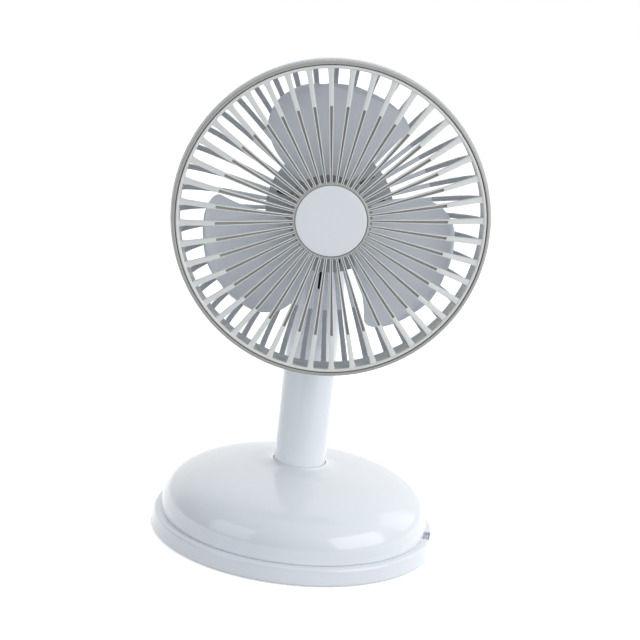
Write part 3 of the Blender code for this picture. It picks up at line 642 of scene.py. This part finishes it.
housing = {"radius": 83.3, "wall": 2.0, "front": 60.0, "ringBack": 48.0, "back": 27.0,
           "linerRadius": 78.7, "linerFront": 58.7, "linerSlant": 2.2,
           "bars": 44, "phase": radians(-4.5), "barRoot": 33.2, "rootWidth": 2.1, "creaseWidth": 2.6,
           "barWidth": 3.3, "barDepth": 2.0, "barEdge": 0.55, "crease": 56.0,
           "curveMiddle": 30.0, "curveEdge": 50.0, "curvePower": 2.35, "curveSteps": 14,
           "hubRadius": 34.4, "hubBore": 8.0, "hubFront": 29.0,
           "vents": 12, "ventLow": (21.5, -1.2, 20), "ventHigh": (30, 1.2, 35)}


def housingBarStations():
    inset = housing["barDepth"] / 2
    reach = housing["radius"] - housing["curveMiddle"]
    power = housing["curvePower"]     # 2 is an ellipse, more is a squarer corner
    flatShare = (housing["crease"] - housing["curveMiddle"]) / reach
    depth = (housing["curveEdge"] - housing["back"]) / (1 - flatShare ** power) ** (1 / power)
    flat = housing["back"] + inset
    stations = [(housing["barRoot"], flat, housing["rootWidth"], housing["barDepth"]),
                (housing["crease"] - 1.5, flat, housing["creaseWidth"], housing["barDepth"])]
    start = asin(flatShare ** (power / 2))
    for i in range(housing["curveSteps"] + 1):
        t = i / housing["curveSteps"]
        angle = blendValue(start, pi / 2, t)
        stations.append((housing["curveMiddle"] + (reach - inset) * sin(angle) ** (2 / power),
                         housing["curveEdge"] - (depth - inset) * cos(angle) ** (2 / power),
                         blendValue(housing["creaseWidth"], housing["barWidth"], t), housing["barDepth"]))
    stations.append((housing["radius"] - inset, housing["curveEdge"] + 1.5, housing["barWidth"],
                     housing["barDepth"]))
    return stations


def shadeInside(piece, isInside):     # the inner faces get a matt, darker skin of painted shade
    paint(piece, "white_shell")
    addSecondSkin(piece, paintedShadeSkin, isInside)


def makeRearHousing():
    outer, inner = housing["radius"], housing["radius"] - housing["wall"]
    liner, linerFront = housing["linerRadius"], housing["linerFront"]
    ringBack, front = housing["ringBack"], housing["front"]
    rings = [(inner, front), (outer, front), (outer, housing["curveEdge"]), (outer - 0.15, ringBack),
             (liner + housing["linerSlant"], ringBack), (liner, ringBack + 2.0), (liner, linerFront),
             (inner, linerFront), (inner, front)]
    wall = turnPiece("housingWall", rings, around=264, closed=True)
    softenEdges(wall, 0.35, 50)
    # painted shade on the wall's inward faces
    shadeInside(wall, facesInwards)
    bore, edge = housing["hubBore"], housing["hubRadius"]
    plate = turnPiece("hubPlate", [(bore, housing["hubFront"]), (edge, housing["hubFront"]),
                                   (edge, housing["back"]), (bore, housing["back"])], 132)
    for i in range(housing["vents"]):
        cutter = addBlock("ventCut", housing["ventLow"], housing["ventHigh"])
        cutter.rotation_euler = (0, 0, 2 * pi * (i + 0.5) / housing["vents"])
        bakePlace(cutter)
        carve(plate, cutter)
    # painted shade on the hub plate's front faces
    shadeInside(plate, lambda face: face.normal.z > 0.5)
    softenEdges(plate, 0.2, 50)
    bar = sweepBar("housingBar", housingBarStations())
    # painted shade on the inward faces of each bar's curved part
    shadeInside(bar, lambda face: face.normal.x < -0.2 and face.center.x > housing["crease"] * mm)
    softenEdges(bar, housing["barEdge"], 50)
    bars = spinCopies(bar, housing["bars"], 2 * pi / housing["bars"], housing["phase"])
    guard = joinPieces([wall, plate, bars])
    guard.name = "rearHousing"
    seatOnHead(guard)
    smoothPiece(guard, 40)
    standFor(guard, "head", "white_shell", "rear_housing")


ventShadeSheet = {"low": (21.4, -1.24, 27.5), "high": (30.1, 1.24, 28.0), "cuts": 5, "wire": 0.06, "dent": 0.1}


def makeVentShadeSheets():     # dark gauze sheets set into each vent of the hub plate, painted shade for the dark vent openings
    shadeSheet = addBlock("ventShadeSheets", ventShadeSheet["low"], ventShadeSheet["high"])
    useOnly(shadeSheet)
    bpy.ops.object.mode_set(mode="EDIT")
    bpy.ops.mesh.select_all(action="SELECT")
    bpy.ops.mesh.subdivide(number_cuts=ventShadeSheet["cuts"])
    pickFaces(shadeSheet, lambda face: abs(face.normal.z) > 0.5)
    bpy.ops.mesh.select_mode(type="FACE")
    bpy.ops.mesh.inset(thickness=ventShadeSheet["wire"] * mm, depth=-ventShadeSheet["dent"] * mm,
                       use_individual=True)
    bpy.ops.mesh.select_mode(type="VERT")
    bpy.ops.object.mode_set(mode="OBJECT")
    shadeSheets = spinCopies(shadeSheet, housing["vents"], 2 * pi / housing["vents"], pi / housing["vents"])
    shadeSheets.name = "ventShadeSheets"
    seatOnHead(shadeSheets)
    # painted shade: the dark sheets stand for the shade seen through the vents
    paint(shadeSheets, "dark_plastic")
    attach(shadeSheets, "head")
    print("made", shadeSheets.name, "with", len(shadeSheets.data.polygons), "faces")


bracket = {"footRadius": 15.0, "footFront": 26.7, "footBack": 22.7, "footBore": 6.0, "softEdge": 0.3,
           "lugHalf": 2.5, "lugRadius": 7.0, "lugSpread": 8.2,
           "screws": 3, "screwRing": 11.2, "screwStart": pi / 2, "holeRadius": 1.5}
bracketScrew = {"headRadius": 2.2, "under": 21.0, "seat": 22.4, "shank": 1.2, "tip": 32.2}


def makePivotBracket():
    half, radius = bracket["lugHalf"], bracket["lugRadius"]
    lug = addBlock("pivotBracketPiece", (-half, -radius, 0), (half, radius, bracket["footFront"] - 2))
    pickFaces(lug, lambda face: face.normal.z > 0.5)
    bpy.ops.transform.resize(value=(1, bracket["lugSpread"] / radius, 1), center_override=(0, 0, 0))
    bpy.ops.object.mode_set(mode="OBJECT")
    bore = tiltJoint["shank"] + tiltJoint["clearance"]
    for rodRadius, reach, operation in ((radius, half, "UNION"), (bore, half + 3, "DIFFERENCE")):
        rod = addRod("lugRod", rodRadius, -reach, reach, around=96)
        rod.rotation_euler = (0, pi / 2, 0)
        bakePlace(rod)
        carve(lug, rod, operation)
    foot = turnPiece("bracketFoot", [
        (bracket["footBore"], bracket["footFront"]), (bracket["footRadius"], bracket["footFront"]),
        (bracket["footRadius"], 24.1), (14.6, 23.3), (13.8, bracket["footBack"]),
        (bracket["footBore"], bracket["footBack"])], around=128)
    carve(lug, foot, "UNION")
    for place in ringPlaces(bracket["screwRing"], bracket["screws"], bracket["screwStart"]):
        carve(lug, addRod("footHole", bracket["holeRadius"], 20, 30, place))
    softenEdges(lug, bracket["softEdge"], 50)
    seatOnHead(lug)
    smoothPiece(lug)
    standFor(lug, "head", "white_shell", "pivot_bracket")


def makeBracketScrews():
    screws = ringOfScrews("bracketScrews", bracketScrew, bracket["screwRing"], bracket["screws"],
                          bracket["screwStart"])
    seatOnHead(screws)
    smoothPiece(screws)
    standFor(screws, "head", "steel", *numberedNodes("bracket_screw", bracket["screws"]))


makeRearHousing()
makeVentShadeSheets()
makePivotBracket()
makeBracketScrews()

# head: front grille, trim ring and hub disc

grille = {"bars": 44, "phase": radians(-1.9), "hubRadius": 19.6, "grooveEnd": 60.4, "opening": 78.6,
          "hubHeight": 62.9, "bendHeight": 67.4, "rimHeight": 65.2, "innerWidth": 1.3, "bendWidth": 2.3,
          "rimWidth": 2.75, "depth": 2.8, "grooveWall": 0.46, "grooveDepth": 1.3,
          "innerCurve": 1.45, "outerCurve": 1.15, "flareFrom": 76.5, "flareEnd": 79.0, "flareGrowth": 0.35,
          "softEdge": 0.12}
barStops = [19.2, 24, 30, 36, 42, 48, 54, grille["grooveEnd"], 64, 68, 72, 75.5, 77.4, 78.3,
            grille["flareEnd"]]


# the front line of the bars rises from the sunk hub to the bend, then falls to the rim
def grilleHeight(radius):
    if radius < grille["grooveEnd"]:
        t = max(radius - grille["hubRadius"], 0) / (grille["grooveEnd"] - grille["hubRadius"])
        return blendValue(grille["hubHeight"], grille["bendHeight"], 1 - (1 - t) ** grille["innerCurve"])
    t = (radius - grille["grooveEnd"]) / (grille["opening"] - grille["grooveEnd"])
    return blendValue(grille["bendHeight"], grille["rimHeight"], t ** grille["outerCurve"])


def grilleWidth(radius):
    if radius < grille["grooveEnd"]:
        t = (radius - grille["hubRadius"]) / (grille["grooveEnd"] - grille["hubRadius"])
        return blendValue(grille["innerWidth"], grille["bendWidth"], t)
    t = (radius - grille["grooveEnd"]) / (grille["opening"] - grille["grooveEnd"])
    return blendValue(grille["bendWidth"], grille["rimWidth"], t)


def isChannelFace(face):     # floor and walls of a bar's channel, which get painted shade
    radius = face.center.x / mm
    sunk = grilleHeight(radius) - face.center.z / mm
    inside = abs(face.center.y) / mm < grilleWidth(radius) / 2 - grille["grooveWall"] + 0.06
    return inside and 0.3 < sunk < grille["grooveDepth"] + 0.3 and face.normal.z > -0.3


def makeGrilleBar():
    flareFrom, flareRun = grille["flareFrom"], grille["flareEnd"] - grille["flareFrom"]
    stations = []
    for radius in barStops:     # the bar's foot widens into the rim
        flare = 1.0 if radius < flareFrom else 1.0 + grille["flareGrowth"] * (radius - flareFrom) / flareRun
        stations.append((radius, grilleHeight(radius) - grille["depth"] / 2,
                         grilleWidth(radius) * flare, grille["depth"]))
    bar = sweepBar("grilleBar", stations)
    channelEnd = grille["grooveEnd"] * mm
    pickFaces(bar, lambda face: face.normal.z > 0.7 and face.center.x < channelEnd)
    bpy.ops.mesh.inset(thickness=grille["grooveWall"] * mm, depth=0)
    bpy.ops.mesh.extrude_region_move(TRANSFORM_OT_translate={"value": (0, 0, -grille["grooveDepth"] * mm)})
    bpy.ops.object.mode_set(mode="OBJECT")
    paint(bar, "silver_paint")
    # the channel's floor and walls get the darker skin as painted shade
    addSecondSkin(bar, grooveShadeSkin, isChannelFace)
    softenEdges(bar, grille["softEdge"], 40, 2)
    return bar


# sections of the turned front pieces, as radius and height in mm
rimSection = [(80.3, 59.0), (80.3, 65.0), (80.2, 65.4), (79.95, 65.65), (79.7, 65.75), (79.3, 65.78),
              (79.0, 65.7), (grille["opening"] + 0.15, 65.4), (grille["opening"], 64.9),
              (grille["opening"], 59.0), (80.3, 59.0)]
cupSection = [(8, 61.7), (18.95, 61.7), (18.95, 63.2), (19.6, 63.2), (20.3, 62.6), (20.3, 60.3), (8, 60.3)]
trimSection = [(80.65, 60.3), (80.65, 65.6), (80.8, 65.9), (81.1, 66.0), (81.5, 65.95), (81.7, 65.75),
               (81.8, 65.7), (82.1, 65.5), (82.35, 65.1), (82.5, 64.5), (82.5, 60.3), (80.65, 60.3)]
discSection = [(4, 62.0), (18.3, 62.0), (18.65, 62.3), (18.65, 62.75), (18.5, 63.05), (18.1, 63.15),
               (16, 63.22), (11, 63.31), (5, 63.38), (1, 63.4)]
rimEdgeBack = 64.0     # the opening's wall is shaded behind this height


def makeFrontGrille():
    rim = turnPiece("grilleRim", rimSection, around=264, closed=True)
    paint(rim, "silver_paint")
    # the opening's inner wall behind rimEdgeBack gets the darker skin as painted shade
    addSecondSkin(rim, grooveShadeSkin, lambda face: facesInwards(face) and face.center.z < rimEdgeBack * mm)
    softenEdges(rim, grille["softEdge"], 55, 2)
    cup = turnPiece("grilleCup", cupSection, around=132)
    cup.data.materials.append(finishes["trim_silver"])
    softenEdges(cup, 0.15, 40, 2)
    bars = spinCopies(makeGrilleBar(), grille["bars"], 2 * pi / grille["bars"], grille["phase"])
    front = joinPieces([rim, cup, bars])
    front.name = "frontGrille"
    seatOnHead(front)
    smoothPiece(front, 40)
    standFor(front, "head", "silver_paint", "front_grille")


def makeTrimRing():
    ring = turnPiece("trimRing", trimSection, around=264, closed=True)
    softenEdges(ring, 0.1, 60, 2)
    seatOnHead(ring)
    smoothPiece(ring, 40)
    standFor(ring, "head", "trim_silver", "trim_ring")


def makeHubDisc():
    disc = turnPiece("hubDisc", discSection, around=132)
    seatOnHead(disc)
    smoothPiece(disc, 40)
    standFor(disc, "head", "white_disc", "hub_disc")


makeFrontGrille()
makeTrimRing()
makeHubDisc()

# impeller

fanWheel = {"blades": 3, "thickness": 1.3, "middle": 45.5, "pitch": 7.0, "camber": 2.0, "columns": 9,
            "rounding": 2, "bladeEdge": 0.4, "hubEdge": 0.3}
hubSection = [(2, 58), (4.6, 58), (5.4, 57.4), (6.8, 55.8), (9, 55.3), (14, 55.0), (18.5, 54.6),
              (20.6, 53.9), (21.7, 52.7), (22, 51.2), (22, 33.2), (17.4, 33.2), (17.4, 50.6),
              (1.8, 50.6), (1.8, 56.6)]
bladeOutline = [     # radius in mm, then the angles of the trailing and leading edges in degrees
    (20.5, 67, 137), (30.6, 62, 139), (45.0, 58.5, 137.5), (56.0, 55, 132),
    (60.1, 53, 128.5), (64.3, 57.5, 123.5), (67.4, 67, 118), (69.0, 84, 108)]


def makeBlade():
    deselectAll()
    rows = len(bladeOutline)
    bpy.ops.mesh.primitive_grid_add(x_subdivisions=rows - 1, y_subdivisions=fanWheel["columns"] - 1, size=2)
    blade = bpy.context.object
    for point in blade.data.vertices:     # each row of the grid becomes an arc of the blade
        radius, trailing, leading = bladeOutline[round((point.co.x + 1) / 2 * (rows - 1))]
        across = (point.co.y + 1) / 2
        angle = radians(blendValue(trailing, leading, across))
        bulge = fanWheel["camber"] * sin(pi * across)
        height = fanWheel["middle"] + fanWheel["pitch"] * (1 - 2 * across) + bulge
        point.co = (radius * cos(angle) * mm, radius * sin(angle) * mm, height * mm)
    rounding = blade.modifiers.new("rounding", "SUBSURF")
    rounding.levels = fanWheel["rounding"]
    rounding.render_levels = fanWheel["rounding"]
    thickness = blade.modifiers.new("thickness", "SOLIDIFY")
    thickness.thickness = fanWheel["thickness"] * mm
    thickness.offset = 0
    applyModifiers(blade)
    softenEdges(blade, fanWheel["bladeEdge"], 50)
    return blade


def makeImpeller():
    hub = turnPiece("impellerHub", hubSection, around=96)
    softenEdges(hub, fanWheel["hubEdge"], 60, 2)
    hub.data.materials.append(finishes["blade_grey"])
    # the whole hub gets the darker skin as painted shade
    addSecondSkin(hub, hubShadeSkin, lambda face: True)
    blade = makeBlade()
    blade.data.materials.append(finishes["blade_grey"])
    blades = spinCopies(blade, fanWheel["blades"], 2 * pi / fanWheel["blades"])
    wheel = joinPieces([hub, blades])
    wheel.name = "fanImpeller"
    seatOnHead(wheel)
    smoothPiece(wheel, 40)
    standFor(wheel, "impeller", "blade_grey", "impeller")


makeImpeller()

# camera, floor and light

cameraPlace = {"lens": 90.0, "sensor": 36, "nearest": 0.01, "away": 0.8784, "height": 0.3404,
               "around": -2.457, "dip": 13.647, "turn": -0.181, "roll": 6.355}     # mm, metres, then degrees


def makeCamera():
    camera = bpy.data.objects.new("deskCamera", bpy.data.cameras.new("deskCamera"))
    bpy.context.scene.collection.objects.link(camera)
    camera.data.lens = cameraPlace["lens"]
    camera.data.sensor_width = cameraPlace["sensor"]
    camera.data.clip_start = cameraPlace["nearest"]
    away, around = cameraPlace["away"], radians(cameraPlace["around"])
    camera.location = (away * sin(around), -away * cos(around), cameraPlace["height"])
    look = Euler((radians(90 - cameraPlace["dip"]), 0, around + radians(cameraPlace["turn"]))).to_matrix()
    camera.rotation_euler = (look @ Matrix.Rotation(radians(cameraPlace["roll"]), 3, "Z")).to_euler()
    bpy.context.scene.camera = camera


# what the camera sees can differ from what lights the fan; mirrored means reflections show the seen side too
def chooseByRay(tree, others, seen, output, mirrored=False):
    path = tree.nodes.new("ShaderNodeLightPath")
    choose = tree.nodes.new("ShaderNodeMixShader")
    direct = path.outputs["Is Camera Ray"]
    if mirrored:
        either = tree.nodes.new("ShaderNodeMath")
        either.operation = "MAXIMUM"
        tree.links.new(direct, either.inputs[0])
        tree.links.new(path.outputs["Is Glossy Ray"], either.inputs[1])
        direct = either.outputs["Value"]
    tree.links.new(direct, choose.inputs["Fac"])
    tree.links.new(others, choose.inputs[1])
    tree.links.new(seen, choose.inputs[2])
    tree.links.new(choose.outputs["Shader"], output.inputs["Surface"])


paper = {"size": 12, "deep": (240, 240, 241), "bright": (246, 246, 247), "fibreScale": 6, "fibreDetail": 3.0,
         "roughness": 0.8, "glow": 0.5, "bounce": (0.43, 0.44, 0.45, 1)}


def makeFloor():
    deselectAll()
    bpy.ops.mesh.primitive_plane_add(size=paper["size"], location=(0, 0, 0))
    floor = bpy.context.object
    floor.name = "studioFloor"
    material, tree, shader, place = startMaterial("studioPaper")
    fibres = addNoise(tree, place, paper["fibreScale"], paper["fibreDetail"])
    tint = mixColours(tree, spreadValue(tree, fibres, 0.0, 1.0),
                      fromScreen(paper["deep"]), fromScreen(paper["bright"]))
    tree.links.new(tint, shader.inputs["Base Color"])
    shader.inputs["Roughness"].default_value = paper["roughness"]
    shader.inputs["Emission Color"].default_value = (1, 1, 1, 1)
    shader.inputs["Emission Strength"].default_value = paper["glow"]
    bounce = tree.nodes.new("ShaderNodeBsdfDiffuse")     # the paper throws less light back than it shows
    bounce.inputs["Color"].default_value = paper["bounce"]
    chooseByRay(tree, bounce.outputs["BSDF"], shader.outputs["BSDF"], tree.nodes["Material Output"], True)
    floor.data.materials.append(material)


studio = {"left": (0.33, 0.355, 0.38, 1), "right": (0.96, 0.97, 0.98, 1), "strength": 1.06,
          "backdrop": (0.95, 0.95, 0.95, 1), "backdropFrom": 0.3, "backdropFull": 0.7}


def makeWorld():
    world = bpy.data.worlds.new("studioWorld")
    bpy.context.scene.world = world
    world.use_nodes = True
    tree = world.node_tree
    tree.nodes.clear()
    output = tree.nodes.new("ShaderNodeOutputWorld")
    around = tree.nodes.new("ShaderNodeTexCoord")
    split = tree.nodes.new("ShaderNodeSeparateXYZ")
    tree.links.new(around.outputs["Generated"], split.inputs["Vector"])
    side = spreadValue(tree, split.outputs["X"], 0.0, 1.0, -1.0, 1.0)
    sides = mixColours(tree, side, studio["left"], studio["right"])
    behind = spreadValue(tree, split.outputs["Y"], 0.0, 1.0, studio["backdropFrom"], studio["backdropFull"])
    tent = mixColours(tree, behind, studio["left"], studio["backdrop"])
    tree.links.new(sides, tent.node.inputs["A"])     # the sides show wherever the backdrop doesn't
    soft = tree.nodes.new("ShaderNodeBackground")
    tree.links.new(tent, soft.inputs["Color"])
    soft.inputs["Strength"].default_value = studio["strength"]
    clear = tree.nodes.new("ShaderNodeBackground")
    clear.inputs["Color"].default_value = (1, 1, 1, 1)
    clear.inputs["Strength"].default_value = 1.0
    chooseByRay(tree, soft.outputs["Background"], clear.outputs["Background"], output)


aimHeight = 0.12     # metres; every soft box looks at this height on the fan's axis
softBoxes = {
    "keyBox": {"place": (0.84, -0.54, 0.44), "size": (0.9, 0.72), "power": 3.1},
    "sideBox": {"place": (1.0, 0.5, 0.6), "size": (0.6, 0.8), "power": 0.8},
    "topBox": {"place": (0.2, 0.3, 1.3), "size": (0.9, 0.5), "power": 0.15},
    "fillBox": {"place": (-0.80, -0.56, 0.42), "size": (0.66, 0.66), "power": 1.15},
}


def makeLights():
    for name, box in softBoxes.items():
        lamp = bpy.data.lights.new(name, "AREA")
        lamp.shape = "RECTANGLE"
        lamp.size, lamp.size_y = box["size"]
        lamp.energy = box["power"]
        holder = bpy.data.objects.new(name, lamp)
        bpy.context.scene.collection.objects.link(holder)
        holder.location = box["place"]
        aim = Vector((0, 0, aimHeight)) - holder.location
        holder.rotation_euler = aim.to_track_quat("-Z", "Y").to_euler()


makeCamera()
makeFloor()
makeWorld()
makeLights()
bpy.context.scene.view_settings.view_transform = "Standard"
print("camera, floor and light ready")
